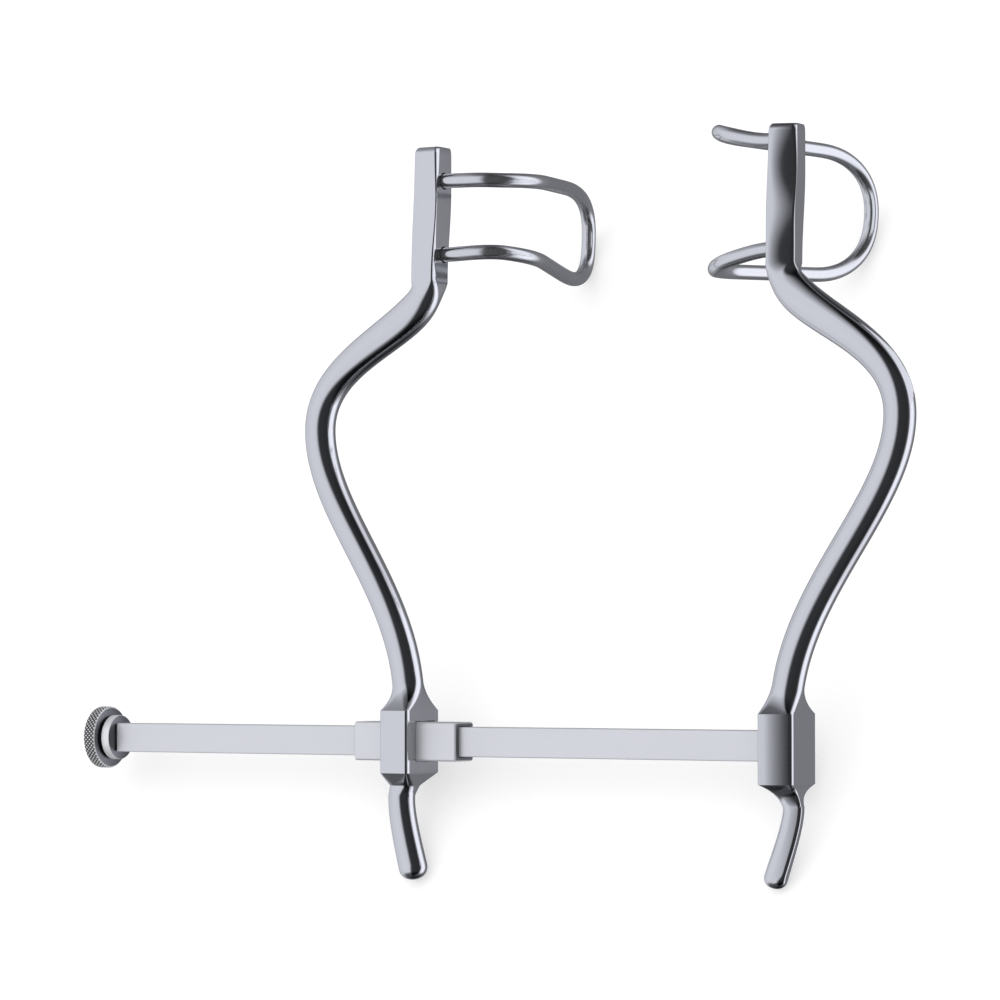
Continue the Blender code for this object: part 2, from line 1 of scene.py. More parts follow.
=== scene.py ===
# %% [markdown]
# A self-retaining abdominal retractor, in stainless steel. Two lyre-shaped arms stand on a
# rectangular rail. The right-hand arm is fixed to the rail, the left-hand arm slides along it on a
# sleeve, and a knurled end screw stops the sleeve. Each arm carries a bent wire loop, the blade,
# that holds one side of the wound back.
# The solids of the part are already packed, with their bodies and joints. This lesson dresses
# them: the same shapes again with the fine edges and the polish that the solids leave out.
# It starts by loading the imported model, because every piece rides on one of its bodies.

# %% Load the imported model
import json
import math
from types import SimpleNamespace

import bmesh
import bpy
import numpy as np
from mathutils import Matrix, Vector


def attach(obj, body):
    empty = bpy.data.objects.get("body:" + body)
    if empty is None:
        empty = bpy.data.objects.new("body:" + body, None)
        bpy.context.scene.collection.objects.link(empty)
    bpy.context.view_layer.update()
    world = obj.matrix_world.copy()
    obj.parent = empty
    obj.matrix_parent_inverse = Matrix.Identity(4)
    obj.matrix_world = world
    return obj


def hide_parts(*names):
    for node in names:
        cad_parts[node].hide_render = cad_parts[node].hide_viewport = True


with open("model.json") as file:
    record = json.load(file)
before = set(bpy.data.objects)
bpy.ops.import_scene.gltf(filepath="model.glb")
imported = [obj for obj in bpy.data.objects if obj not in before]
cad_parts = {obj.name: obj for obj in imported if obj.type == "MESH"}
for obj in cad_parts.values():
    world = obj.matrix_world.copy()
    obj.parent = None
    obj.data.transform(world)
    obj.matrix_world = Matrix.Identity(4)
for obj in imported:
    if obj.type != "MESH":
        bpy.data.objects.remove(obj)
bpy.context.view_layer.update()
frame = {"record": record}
MM = 0.001

# %% [markdown]
# The instrument lies on a table. Its two finger handles and the feet of its two blades touch the
# table, so the whole frame leans back by some 25 degrees. It is easier to shape the pieces in the
# frame's own axes: X along the rail, Y from the rail to the arm tips, Z out of the frame, away
# from the blades. One matrix then stands every piece on the table. Its lean and its place come
# from two flat faces that the record states, the back and the side of the fixed arm's box.

# %% Axes of the leaning frame
OPENING = 100 * MM
TIP_WIDTH = 7.4 * MM
TIP_INSET = 3.1 * MM
BOX_WIDTH = 8.9 * MM
BOX_X = OPENING / 2 + TIP_WIDTH / 2 + TIP_INSET

mounts = {mount["name"]: mount for mount in frame["record"]["mounts"]}
back_axis = mounts["fixed_arm_back"]["axis"]
LEAN = math.atan2(back_axis[1], -back_axis[2])
box_side = Vector(mounts["fixed_arm_side"]["pos_m"])
box_side_in_frame = Vector((BOX_X + BOX_WIDTH / 2, 0, 0))
stand = Matrix.Translation(box_side - box_side_in_frame) @ Matrix.Rotation(LEAN, 4, "X")
print("lean in degrees:", round(math.degrees(LEAN), 2))

# %% [markdown]
# Every finish here is stainless steel, and what tells one from another is how it was worked, but
# for one dark tone, which is painted shade. A photograph of scratched metal would do for one view.
# A procedural material holds at any distance: fine noise, stretched along the grain, that changes
# roughness and tips the surface a little. The grain follows a map that each mesh carries, with one
# axis round the piece and the other along it, both in metres.

# %% Helpers for nodes


def feed(tree, socket, value):
    """Gives a node's input a fixed value or the output of another node."""
    if isinstance(value, bpy.types.NodeSocket):
        tree.links.new(value, socket)
    else:
        socket.default_value = value


def add_node(tree, kind, values):
    """Node with some of its inputs filled."""
    node = tree.nodes.new("ShaderNode" + kind)
    for name, value in values.items():
        feed(tree, node.inputs[name], value)
    return node


def mixed_colour(tree, first, second, share, blend_type="MIX"):
    """Output of a node that mixes two colours."""
    node = tree.nodes.new("ShaderNodeMix")
    node.data_type = "RGBA"
    node.blend_type = blend_type
    for name, value in (("A", first), ("B", second), ("Factor", share)):
        feed(tree, node.inputs[name], value)
    return node.outputs["Result"]


print("node helpers ready")

# %% Steel with a grain
# Noise cells in a metre, round the piece and along it
GRAIN_STRETCH = (6000, 120, 1)
WEAR_SCALE = 90
GRAIN_SHADE = 0.93
# Near black in the knurl's grooves: dirt and painted shade
GROOVE_DIRT_AND_SHADE_COLOUR = (0.015, 0.015, 0.017, 1.0)


def steel(name, colour, roughness, grain, blotch, metallic=1.0):
    """Stainless steel with a grain of one depth along the piece and slow patches of wear."""
    material = bpy.data.materials.new(name)
    material.use_nodes = True
    tree = material.node_tree
    shader = tree.nodes["Principled BSDF"]
    shader.inputs["Metallic"].default_value = metallic

    where = add_node(tree, "UVMap", {})
    where.uv_map = "grain"
    stretch = add_node(tree, "Mapping", {"Vector": where.outputs["UV"], "Scale": GRAIN_STRETCH})
    noise = {"Vector": stretch.outputs["Vector"], "Scale": 1.0, "Detail": 3.0}
    lines = add_node(tree, "TexNoise", noise).outputs["Fac"]

    place = add_node(tree, "TexCoord", {}).outputs["Object"]
    patches = add_node(tree, "TexNoise", {"Vector": place, "Scale": WEAR_SCALE, "Detail": 4.0})
    both = add_node(tree, "Mix", {"Factor": 0.5, "A": patches.outputs["Fac"], "B": lines})
    # Noise rarely leaves the middle half of its range
    spread = {
        "Value": both.outputs["Result"],
        "From Min": 0.25,
        "From Max": 0.75,
        "To Min": roughness * (1 - blotch),
        "To Max": roughness * (1 + blotch),
    }
    rough = add_node(tree, "MapRange", spread)
    tree.links.new(rough.outputs["Result"], shader.inputs["Roughness"])

    shaded = (*[channel * GRAIN_SHADE for channel in colour], 1.0)
    tree.links.new(mixed_colour(tree, shaded, (*colour, 1.0), lines), shader.inputs["Base Color"])
    bump = add_node(tree, "Bump", {"Strength": 1.0, "Distance": grain, "Height": lines})
    tree.links.new(bump.outputs["Normal"], shader.inputs["Normal"])
    return material


def paint_groove_dirt_and_shade(material):
    """Darkens a finish where the mesh says that a groove is deep: dirt and painted shade."""
    tree = material.node_tree
    colour = tree.nodes["Principled BSDF"].inputs["Base Color"]
    groove = add_node(tree, "Attribute", {})
    groove.attribute_name = "groove"
    ungrooved_colour = colour.links[0].from_socket
    tree.links.new(mixed_colour(tree, ungrooved_colour, GROOVE_DIRT_AND_SHADE_COLOUR, groove.outputs["Fac"]), colour)


print("grain lines in a millimetre:", GRAIN_STRETCH[0] * MM)

# %% [markdown]
# The arms were belt-ground along their length and then buffed, so they mirror the studio but keep
# a trace of the grain. The wires were only drawn and rubbed over, so they mirror it more softly.
# The rail and the sleeve were only brushed, which spreads the light. The lathe left the end
# screw's rims light and finely ridged. Ends and inner walls get a dark tone, which is painted shade.

# %% Four finishes and a painted shade
MICRON = 0.001 * MM
STEEL_COLOUR = (0.66, 0.665, 0.69)
BRUSHED_COLOUR = (0.72, 0.725, 0.75)
TURNED_COLOUR = (0.80, 0.805, 0.82)
PAINTED_SHADE_COLOUR = (0.20, 0.205, 0.22)
polished = steel("polished_steel", STEEL_COLOUR, roughness=0.12, grain=1.0 * MICRON, blotch=0.25)
satin = steel("satin_steel", BRUSHED_COLOUR, roughness=0.44, grain=2.5 * MICRON, blotch=0.15, metallic=0.65)
drawn = steel("drawn_steel", STEEL_COLOUR, roughness=0.17, grain=1.0 * MICRON, blotch=0.25, metallic=0.94)
turned = steel("turned_steel", TURNED_COLOUR, roughness=0.36, grain=2.0 * MICRON, blotch=0.20, metallic=0.45)
# Painted shade: a dark tone for the sleeve's ends and inner walls and for the screw's faces
painted_shade = steel("painted_shade_steel", PAINTED_SHADE_COLOUR, roughness=0.34, grain=2.0 * MICRON, blotch=0.20)
# The knurl's grooves get dirt and painted shade
paint_groove_dirt_and_shade(turned)
print("finishes:", polished.name, drawn.name, satin.name, turned.name, painted_shade.name)

# %% [markdown]
# A few small helpers come next. Sizes are mixed along a line, and easing in and out of each
# change keeps the steel free of creases.

# %% Mixing, easing and curves


def mix(a, b, t):
    """Value between a and b."""
    return a + (b - a) * t


def ease(t):
    """Smooth step from 0 to 1."""
    t = min(max(t, 0.0), 1.0)
    return t * t * (3 - 2 * t)


def bezier(points, t):
    """Point at t on the cubic curve of four control points."""
    a, b, c, d = (Vector(point) for point in points)
    s = 1 - t
    return a * s**3 + b * (3 * s * s * t) + c * (3 * s * t * t) + d * t**3


def ring_lengths(points):
    """Distance walked along a row of points."""
    total = [0.0]
    for before, after in zip(points, points[1:]):
        total.append(total[-1] + (after - before).length)
    return total


print("a quarter, eased:", ease(0.25))

# %% [markdown]
# Most pieces here are lofts: a row of rings, joined by quads and closed at both ends. A curve
# with a bevel could make the wires, but not the arms, whose section changes from box to rod to
# flat tip, so one loft does for both. Flat faces must stay flat when they are shaded smooth
# beside a tight rounded edge, and weighted normals see to that.

# %% Finished objects
SHARP_DEGREES = 35


def in_scene(name, data):
    """Object of a mesh, a lamp or a camera, put in the scene."""
    made = bpy.data.objects.new(name, data)
    bpy.context.scene.collection.objects.link(made)
    return made


def finished(name, mesh, material, sharp=SHARP_DEGREES):
    """Object of a mesh, facing out, smooth, with its hard edges kept."""
    work = bmesh.new()
    work.from_mesh(mesh)
    bmesh.ops.recalc_face_normals(work, faces=work.faces)
    work.to_mesh(mesh)
    work.free()
    mesh.shade_smooth()
    mesh.set_sharp_from_angle(angle=math.radians(sharp))
    mesh.materials.append(material)
    return in_scene(name, mesh)


def keep_flats(piece):
    """Lets the large flat faces set the normals beside tight edges."""
    modifier = piece.modifiers.new("flat faces stay flat", "WEIGHTED_NORMAL")
    modifier.keep_sharp = True
    modifier.weight = 100


def settle(piece, body, node):
    """Puts a piece on its body in place of its plain solid."""
    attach(piece, body)
    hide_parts(node)
    graph = bpy.context.evaluated_depsgraph_get()
    mesh = piece.evaluated_get(graph).data
    print(piece.name, "rides on", body, "with", len(mesh.polygons), "faces")


print("sharp from", SHARP_DEGREES, "degrees")

# %% Lofts


def loft(name, rings, material, sharp=SHARP_DEGREES):
    """Object from rings of points in the frame's axes, with the grain map along the loft."""
    count = len(rings[0])
    points = [stand @ point for ring in rings for point in ring]
    middles = [sum(ring, Vector()) / count for ring in rings]
    points += [stand @ middles[0], stand @ middles[-1]]
    faces = []
    for row in range(len(rings) - 1):
        for place in range(count):
            beside = (place + 1) % count
            low = row * count
            faces.append((low + place, low + beside, low + count + beside, low + count + place))
    end = (len(rings) - 1) * count
    for place in range(count):
        beside = (place + 1) % count
        faces.append((len(points) - 2, beside, place))
        faces.append((len(points) - 1, end + place, end + beside))
    mesh = bpy.data.meshes.new(name)
    mesh.from_pydata(points, [], faces)

    along = ring_lengths(middles)
    around = [ring_lengths(ring + [ring[0]]) for ring in rings]
    grain = mesh.uv_layers.new(name="grain")
    for face in range((len(rings) - 1) * count):
        row, place = divmod(face, count)
        corners = ((row, place), (row, place + 1), (row + 1, place + 1), (row + 1, place))
        for corner, (r, p) in enumerate(corners):
            grain.data[face * 4 + corner].uv = (around[r][p], along[r])
    return finished(name, mesh, material, sharp)


print("loft ready")

# %% [markdown]
# The arms were drop-forged and ground to shape. In section they are almost rectangles, but no
# edge on a ground forging is a quarter circle. Where the front face meets the side there is a
# tight edge first, and then a slower roll into the side face. The tight edge mirrors the dark
# part of the studio as a fine black line, and the roll mirrors the bright part as a white line
# beside it. One arc could not give both widths, so each corner is drawn from two.

# %% Corner of two arcs
CORNER_STEPS = 12
ROLL_TURN = math.radians(32)


def corner_arc(edge, roll):
    """Quarter turn from the side face to the front face, as (inwards, forwards) steps."""
    points = []
    for step in range(CORNER_STEPS + 1):
        angle = math.pi / 2 * step / CORNER_STEPS
        slow = min(angle, ROLL_TURN)
        inwards = roll * (1 - math.cos(slow)) + edge * (math.cos(slow) - math.cos(angle))
        forwards = roll * math.sin(slow) + edge * (math.sin(angle) - math.sin(slow))
        points.append((inwards, forwards))
    return points


def blend(first, second, t):
    """Corner between two corners, each a pair of edge and roll."""
    return mix(first[0], second[0], t), mix(first[1], second[1], t)


print("points in a corner:", len(corner_arc(MM, MM)))

# %% Section of an arm
FRONT_STEPS = 10
FALL_POWER = 1.4
LARGEST_ROUND = 0.999


class Section:
    """One cross-section of an arm. fall is how far the front face drops towards the outer side."""

    def __init__(self, middle, half, outer, inner=None, back=None, fall=0.0):
        self.middle = Vector(middle)
        self.half_width, self.half_depth = half
        most = min(half) * LARGEST_ROUND
        arcs = []
        for edge, roll in (outer, inner or outer, back or outer):
            arcs.append(corner_arc(min(edge, most), min(roll, most)))
        self.outer, self.inner, self.back = arcs
        self.fall = fall
        self.heading = Vector((0, 1, 0))

    def quarter(self, arc, across, up):
        """Corner points of one quarter, from the side face to the front or back face."""
        reach = arc[-1][1]
        points = []
        for inwards, forwards in arc:
            x = across * (self.half_width - inwards)
            points.append((x, up * (self.half_depth - reach + forwards)))
        return points

    def outline(self):
        """Points round the section, as (outboard, up) pairs, from the outer side by the front."""
        outer_front = self.quarter(self.outer, 1, 1)
        inner_front = self.quarter(self.inner, -1, 1)
        start = outer_front[-1][0]
        end = inner_front[-1][0]
        front = []
        for step in range(1, FRONT_STEPS):
            front.append((mix(start, end, step / FRONT_STEPS), self.half_depth))
        inner_back = self.quarter(self.back, -1, -1)
        outer_back = self.quarter(self.back, 1, -1)
        points = outer_front + front + inner_front[::-1] + inner_back + outer_back[::-1]
        return [(x, z - self.drop(x, z)) for x, z in points]

    def drop(self, x, z):
        """Drop of the front face at one point."""
        outwards = (x / self.half_width + 1) / 2
        return self.fall * outwards**FALL_POWER * max(z, 0.0) / self.half_depth


print("points in a section:", len(Section((0, 0, 0), (5 * MM, 7 * MM), (MM, MM)).outline()))

# %% [markdown]
# The two arms are mirror images, but each was ground by hand. They differ in the handle, in how
# far the box reaches below the rail, in the shoulder there, in the tip's long edges, and in the
# front face, which falls away to the outer side on the fixed arm only.

# %% What tells the two arms apart
HOLLOW_POWER = 2.8
CHAMFER_FROM = 0.42


def hollow_shoulder(t):
    """Growth from handle to box along a hollow curve."""
    return t**HOLLOW_POWER


def chamfered_shoulder(t):
    """Growth from handle to box in a straight slope."""
    return max(0.0, (t - CHAMFER_FROM) / (1 - CHAMFER_FROM))


# side is +1 for the fixed arm. box_below and drop are how far box and handle reach under the
# rail, end_in and rise how far the handle's end stands inboard and in front, root and end how
# thick it is. The falls are drops of the front face, the rolls shape the tip's long edges.
fixed_make = SimpleNamespace(
    side=1, shoulder=hollow_shoulder, box_below=9.8 * MM, box_fall=2.7 * MM, handle_fall=1.3 * MM,
    drop=36.5 * MM, root=5.5 * MM, end=6.2 * MM, end_in=3.5 * MM, rise=0.5 * MM,
    tip_fall=2.45 * MM, roll=2.2 * MM, roll_swing=1.7 * MM,
)
sliding_make = SimpleNamespace(
    side=-1, shoulder=chamfered_shoulder, box_below=8.5 * MM, box_fall=0.0, handle_fall=0.0,
    drop=37.1 * MM, root=7.2 * MM, end=7.7 * MM, end_in=3.1 * MM, rise=1.4 * MM,
    tip_fall=0.0, roll=1.7 * MM, roll_swing=1.2 * MM,
)
print("handles in mm:", [round(make.drop / MM, 1) for make in (fixed_make, sliding_make)])

# %% [markdown]
# The finger handle hangs below the box: a slim rod with one flat outer side, which swings
# inboard and ends in a round tip. Its rings close up along a quarter circle at the end, so that
# the tip is round from every side. A separate ball there would leave a seam.

# %% Handle below the box
BOX_DEPTH = 16.6 * MM
BOX_CORNER = (0.75 * MM, 2.1 * MM)
BOX_BACK = (0.5 * MM, 0.6 * MM)
HANDLE_SHOULDER = 6.0 * MM
HANDLE_ROOT_OUT = 2.2 * MM
HANDLE_FLAT = (0.7 * MM, 1.6 * MM)
HANDLE_FLAT_GROWS = 0.25
# How far up the handle its bends sit, and the swing that is left at the lower one
HANDLE_BENDS = (0.25, 0.73)
HANDLE_SWING = 0.6
HANDLE_END_STEPS = 12
HANDLE_STEPS = 28
SHOULDER_STEPS = 14


def handle_sections(make):
    """From the handle's round end up to the box."""
    root_y = -make.box_below - HANDLE_SHOULDER
    path = (
        (-make.end_in, -make.drop, make.rise),
        (-make.end_in * HANDLE_SWING, mix(-make.drop, root_y, HANDLE_BENDS[0]), make.rise),
        (HANDLE_ROOT_OUT, mix(-make.drop, root_y, HANDLE_BENDS[1]), make.rise * 0.5),
        (HANDLE_ROOT_OUT, root_y, 0),
    )
    end_share = make.end / 2 / (make.drop + root_y)
    places = []
    for step in range(1, HANDLE_END_STEPS + 1):
        angle = math.pi / 2 * step / HANDLE_END_STEPS
        places.append((end_share * (1 - math.cos(angle)), math.sin(angle)))
    for step in range(1, HANDLE_STEPS + 1):
        places.append((mix(end_share, 1.0, step / HANDLE_STEPS), 1.0))

    round_root = (make.root / 2, make.root / 2)
    outside = HANDLE_FLAT if make.side > 0 else round_root
    sections = []
    for t, grow in places:
        half = mix(make.end, make.root, ease(t)) / 2 * grow
        around = (half, half)
        outer = blend(around, (outside[0] * grow, outside[1] * grow), ease(t / HANDLE_FLAT_GROWS))
        middle = bezier(path, t)
        fall = make.handle_fall * grow
        sections.append(Section(middle, around, outer, around, around, fall))
    for step in range(1, SHOULDER_STEPS):
        t = step / SHOULDER_STEPS
        bulk = make.shoulder(t)
        half = (mix(make.root, BOX_WIDTH, bulk) / 2, mix(make.root, BOX_DEPTH, bulk) / 2)
        outer = blend(outside, BOX_CORNER, t)
        inner = blend(round_root, BOX_CORNER, t)
        back = blend(round_root, BOX_BACK, t)
        middle = (mix(HANDLE_ROOT_OUT, 0, t), root_y + HANDLE_SHOULDER * t, 0)
        fall = mix(make.handle_fall, make.box_fall, t)
        sections.append(Section(middle, half, outer, inner, back, fall))
    return sections


print("handle sections:", len(handle_sections(fixed_make)))

# %% [markdown]
# Above the box the arm is a round rod. It swings outwards in a long bend, runs past the bulge
# and comes back in at the neck, where it flattens into the straight tip. Two cubic curves give
# that line, one up to the bulge and one on to the neck, and they share their direction at the
# bulge. The section turns from box to rod over a short shoulder, and from rod to flat in the
# upper part of the second curve.

# %% Edges and slope of the tip
TIP_DEPTH = 8.2 * MM
TIP_EDGE = 0.4 * MM
TIP_BACK = (0.35 * MM, 0.5 * MM)
TIGHTEST_ROLL = 143.7 * MM
ROLL_LENGTH = 35 * MM
WAVE_START = 127.1 * MM
WAVE_LENGTH = 23.4 * MM
WAVE_SHARE = 0.12


def tip_corner(make, height):
    """Edge and roll of the tip's long front edges, tightest halfway up the tip."""
    turn = 2 * math.pi * (height - TIGHTEST_ROLL) / ROLL_LENGTH
    return TIP_EDGE, make.roll - make.roll_swing * math.cos(turn)


def tip_fall(make, height):
    """Slope of the front face of the tip, which the belt left a little wavy."""
    turn = 2 * math.pi * (height - WAVE_START) / WAVE_LENGTH
    return make.tip_fall * (1 + WAVE_SHARE * math.cos(turn))


print("slope in mm:", round(tip_fall(fixed_make, WAVE_START) / MM, 2))

# %% Rod from the box to the neck
BOX_ABOVE = 8.3 * MM
SHOULDER = 7.5 * MM
ROD = 8.4 * MM
BULGE_HEIGHT = 85 * MM
BULGE_OUT = 30.8 * MM
BULGE_BEND_BELOW = 23.7 * MM
BULGE_BEND_ABOVE = 21.6 * MM
FOOT_BEND = 31.6 * MM
NECK_HEIGHT = 125.5 * MM
NECK_BEND = 14.2 * MM
BEND_SINKS = (0.45, 0.7)
ROUND_SHARE = 0.72
CORNER_POWER = 6
FALL_FROM = 0.45
NECK_SWELL = 3.6 * MM
BULGE_SINK = 3.5 * MM
NECK_SINK = 5.2 * MM
LOWER_STEPS = 90
LOWER_CROWDING = 1.5
UPPER_STEPS = 64


def rod_sections(make):
    """Round rod from the box's shoulder through the bulge to the neck."""
    sink = -BULGE_SINK
    lower = (
        (0, BOX_ABOVE, 0),
        (0, BOX_ABOVE + FOOT_BEND, sink * BEND_SINKS[0]),
        (BULGE_OUT, BULGE_HEIGHT - BULGE_BEND_BELOW, sink),
        (BULGE_OUT, BULGE_HEIGHT, sink),
    )
    upper = (
        (BULGE_OUT, BULGE_HEIGHT, sink),
        (BULGE_OUT, BULGE_HEIGHT + BULGE_BEND_ABOVE, sink),
        (-TIP_INSET, NECK_HEIGHT - NECK_BEND, mix(sink, -NECK_SINK, BEND_SINKS[1])),
        (-TIP_INSET, NECK_HEIGHT, -NECK_SINK),
    )
    around = (ROD / 2, ROD / 2)
    sections = []
    for step in range(1, LOWER_STEPS + 1):
        middle = bezier(lower, (step / LOWER_STEPS) ** LOWER_CROWDING)
        bulk = max(0.0, 1 - (middle.y - BOX_ABOVE) / SHOULDER) ** 2
        half = (mix(ROD, BOX_WIDTH, bulk) / 2, mix(ROD, BOX_DEPTH, bulk) / 2)
        corner = blend(around, BOX_CORNER, bulk)
        back = blend(around, BOX_BACK, bulk)
        fall = make.box_fall * bulk
        sections.append(Section(middle, half, corner, back=back, fall=fall))
    for step in range(1, UPPER_STEPS + 1):
        t = step / UPPER_STEPS
        flat = ease((t - ROUND_SHARE) / (1 - ROUND_SHARE))
        swell = NECK_SWELL * math.sin(math.pi * t) * t**2
        middle = bezier(upper, t) - Vector((swell / 4, 0, 0))
        half = ((mix(ROD, TIP_WIDTH, flat) + swell) / 2, mix(ROD, TIP_DEPTH, flat) / 2)
        corner = blend(around, tip_corner(make, middle.y), flat**CORNER_POWER)
        back = blend(around, TIP_BACK, flat**CORNER_POWER)
        fall = tip_fall(make, middle.y) * ease((t - FALL_FROM) / (1 - FALL_FROM))
        sections.append(Section(middle, half, corner, back=back, fall=fall))
    return sections


print("rod sections:", len(rod_sections(fixed_make)))

# %% [markdown]
# The tip is straight and flat-sided, and it sinks a little towards the wound. It was finished by
# hand on a belt, so the long edge between its front and its side isn't quite straight. The roll
# of that edge is tight halfway up and wide at both ends, which gives the line its drift, and the
# white highlight follows it. At the top the front face rounds over and the back stays sharp.

# %% Tip above the neck
ARM_HEIGHT = 161.5 * MM
TIP_SINK = 7.1 * MM
TIP_SINK_PACE = 1.4
TIP_END = 2.2 * MM
TIP_STEPS = 48
TOP_STEPS = 10


def tip_sections(make):
    """Straight flat-sided tip with its rounded top."""
    sections = []
    shaft = ARM_HEIGHT - TIP_END - NECK_HEIGHT
    for step in range(1, TIP_STEPS + 1):
        t = step / TIP_STEPS
        height = NECK_HEIGHT + shaft * t
        middle = (-TIP_INSET, height, -mix(NECK_SINK, TIP_SINK, ease(t * TIP_SINK_PACE)))
        half = (TIP_WIDTH / 2, TIP_DEPTH / 2)
        corner = tip_corner(make, height)
        sections.append(Section(middle, half, corner, back=TIP_BACK, fall=tip_fall(make, height)))
    for step in range(1, TOP_STEPS):
        angle = math.pi / 2 * step / TOP_STEPS
        inward = TIP_END * (1 - math.cos(angle)) / 2
        height = ARM_HEIGHT - TIP_END * (1 - math.sin(angle))
        middle = (-TIP_INSET, height, -TIP_SINK - inward)
        half = (TIP_WIDTH / 2 - inward / 2, TIP_DEPTH / 2 - inward)
        corner = tip_corner(make, ARM_HEIGHT)
        sections.append(Section(middle, half, corner, back=TIP_BACK, fall=tip_fall(make, height)))
    return sections


print("tip sections:", len(tip_sections(fixed_make)))

# %% [markdown]
# Now one loft runs through handle, box, rod and tip. Each ring stands square to the arm's line,
# seen from the front, so that the rod keeps its width in the bends. The line's heading is taken
# over four rings each way, because a sudden turn would show as a crease. Only the box and the
# shoulder below it keep level rings, because the box is a straight block.

# %% The two arms
HEADING_REACH = 4
BOX_STEPS = 12


def arm(name, make):
    """One forged arm, from the handle's end to the top of the tip."""
    sections = handle_sections(make)
    level_from = len(sections) - (SHOULDER_STEPS - 1)
    for step in range(BOX_STEPS + 1):
        height = mix(-make.box_below, BOX_ABOVE, step / BOX_STEPS)
        half = (BOX_WIDTH / 2, BOX_DEPTH / 2)
        section = Section((0, height, 0), half, BOX_CORNER, back=BOX_BACK, fall=make.box_fall)
        sections.append(section)
    level_to = len(sections)
    sections += rod_sections(make) + tip_sections(make)
    last = len(sections) - 1
    for place, section in enumerate(sections):
        if level_from <= place < level_to:
            continue
        after = sections[min(place + HEADING_REACH, last)].middle
        heading = after - sections[max(place - HEADING_REACH, 0)].middle
        heading.z = 0
        section.heading = heading.normalized()
    rings = []
    for section in sections:
        outboard = Vector((section.heading.y, -section.heading.x, 0))
        ring = []
        for across, up in section.outline():
            point = section.middle + outboard * across + Vector((0, 0, up))
            ring.append(Vector((make.side * (BOX_X + point.x), point.y, point.z)))
        rings.append(ring)
    return loft(name, rings, polished)


fixed_arm = arm("fixed_arm_forging", fixed_make)
sliding_arm = arm("sliding_arm_forging", sliding_make)
print("faces in the arms:", len(fixed_arm.data.polygons), len(sliding_arm.data.polygons))

# %% [markdown]
# The arms are machined where other pieces go in: a slot right through the sliding arm's box for
# the sleeve, a pocket in the fixed arm's box for the rail, and two blind holes in each tip for
# the wire. Booleans are right for that. They cut sharp mouths into the fine lofts without
# disturbing the faces round them, which an added edge loop would. Later the same blocks make the
# rail and the sleeve.

# %% Blocks round the rail's middle line
RAIL_SETBACK = 1.1 * MM


def on_rail(x_from, x_to, half_height, half_depth):
    """Two opposite corners of a block round the rail's middle line."""
    low = Vector((x_from, -half_height, -RAIL_SETBACK - half_depth))
    high = Vector((x_to, half_height, -RAIL_SETBACK + half_depth))
    return low, high


def stood(name, work, material):
    """Finished object of a mesh in the making, stood on the table."""
    bmesh.ops.transform(work, matrix=stand, verts=work.verts)
    mesh = bpy.data.meshes.new(name)
    work.to_mesh(mesh)
    work.free()
    return finished(name, mesh, material)


def rounded_block(name, corners, radius, material, segments=4):
    """Block with rounded edges between two opposite corners."""
    low, high = corners
    work = bmesh.new()
    bmesh.ops.create_cube(work, size=1.0)
    bmesh.ops.scale(work, vec=high - low, verts=work.verts)
    bmesh.ops.translate(work, vec=(low + high) / 2, verts=work.verts)
    if radius > 0:
        edges = list(work.edges)
        bmesh.ops.bevel(work, geom=edges, offset=radius, segments=segments, profile=0.5, affect="EDGES")
    grain = work.loops.layers.uv.new("grain")
    for face in work.faces:
        for corner in face.loops:
            point = corner.vert.co
            corner[grain].uv = (point.y + point.z, point.x)
    return stood(name, work, material)


print("rail set back in mm:", RAIL_SETBACK / MM)

# %% Pegs and cuts
BORE_SIDES = 64


def round_peg(name, start, length, radius):
    """Round solid along +X of the frame, used to bore holes."""
    work = bmesh.new()
    turn = Matrix.Rotation(math.pi / 2, 4, "Y")
    shape = {"radius1": radius, "radius2": radius, "depth": length, "matrix": turn}
    bmesh.ops.create_cone(work, cap_ends=True, segments=BORE_SIDES, **shape)
    bmesh.ops.translate(work, vec=Vector(start) + Vector((length / 2, 0, 0)), verts=work.verts)
    work.loops.layers.uv.new("grain")
    return stood(name, work, polished)


def cut_away(piece, tools):
    """Cuts the tools' shapes out of a piece for good, and deletes the tools."""
    for tool in tools:
        modifier = piece.modifiers.new("cut", "BOOLEAN")
        modifier.operation = "DIFFERENCE"
        modifier.solver = "EXACT"
        modifier.object = tool
    graph = bpy.context.evaluated_depsgraph_get()
    mesh = bpy.data.meshes.new_from_object(piece.evaluated_get(graph))
    piece.modifiers.clear()
    piece.data = mesh
    mesh.set_sharp_from_angle(angle=math.radians(SHARP_DEGREES))
    for tool in tools:
        bpy.data.objects.remove(tool, do_unlink=True)


print("sides of a bored hole:", BORE_SIDES)

# %% Slot, pocket and blade holes
RAIL_HEIGHT = 8.0 * MM
RAIL_THICKNESS = 5.7 * MM
SEAT_GAP = 0.3 * MM
SLIDE_CLEARANCE = 0.25 * MM
SLEEVE_WALL_SIDE = 1.65 * MM
SLEEVE_WALL_EDGE = 1.0 * MM
SLEEVE_DEPTH = RAIL_THICKNESS + 2 * (SLIDE_CLEARANCE + SLEEVE_WALL_SIDE)
SLEEVE_HEIGHT = RAIL_HEIGHT + 2 * (SLIDE_CLEARANCE + SLEEVE_WALL_EDGE)
RAIL_END_WALL = 1.6 * MM
RAIL_HELD_END = BOX_X + BOX_WIDTH / 2 - RAIL_END_WALL - SEAT_GAP
WIRE = 4.0 * MM
BLADE_SEAT = 4.5 * MM
NARROW_MIDDLE = ARM_HEIGHT - 19.4 * MM
NARROW_LEGS = 20.1 * MM
WIDE_MIDDLE = ARM_HEIGHT - 18.4 * MM
WIDE_LEGS = 28.3 * MM


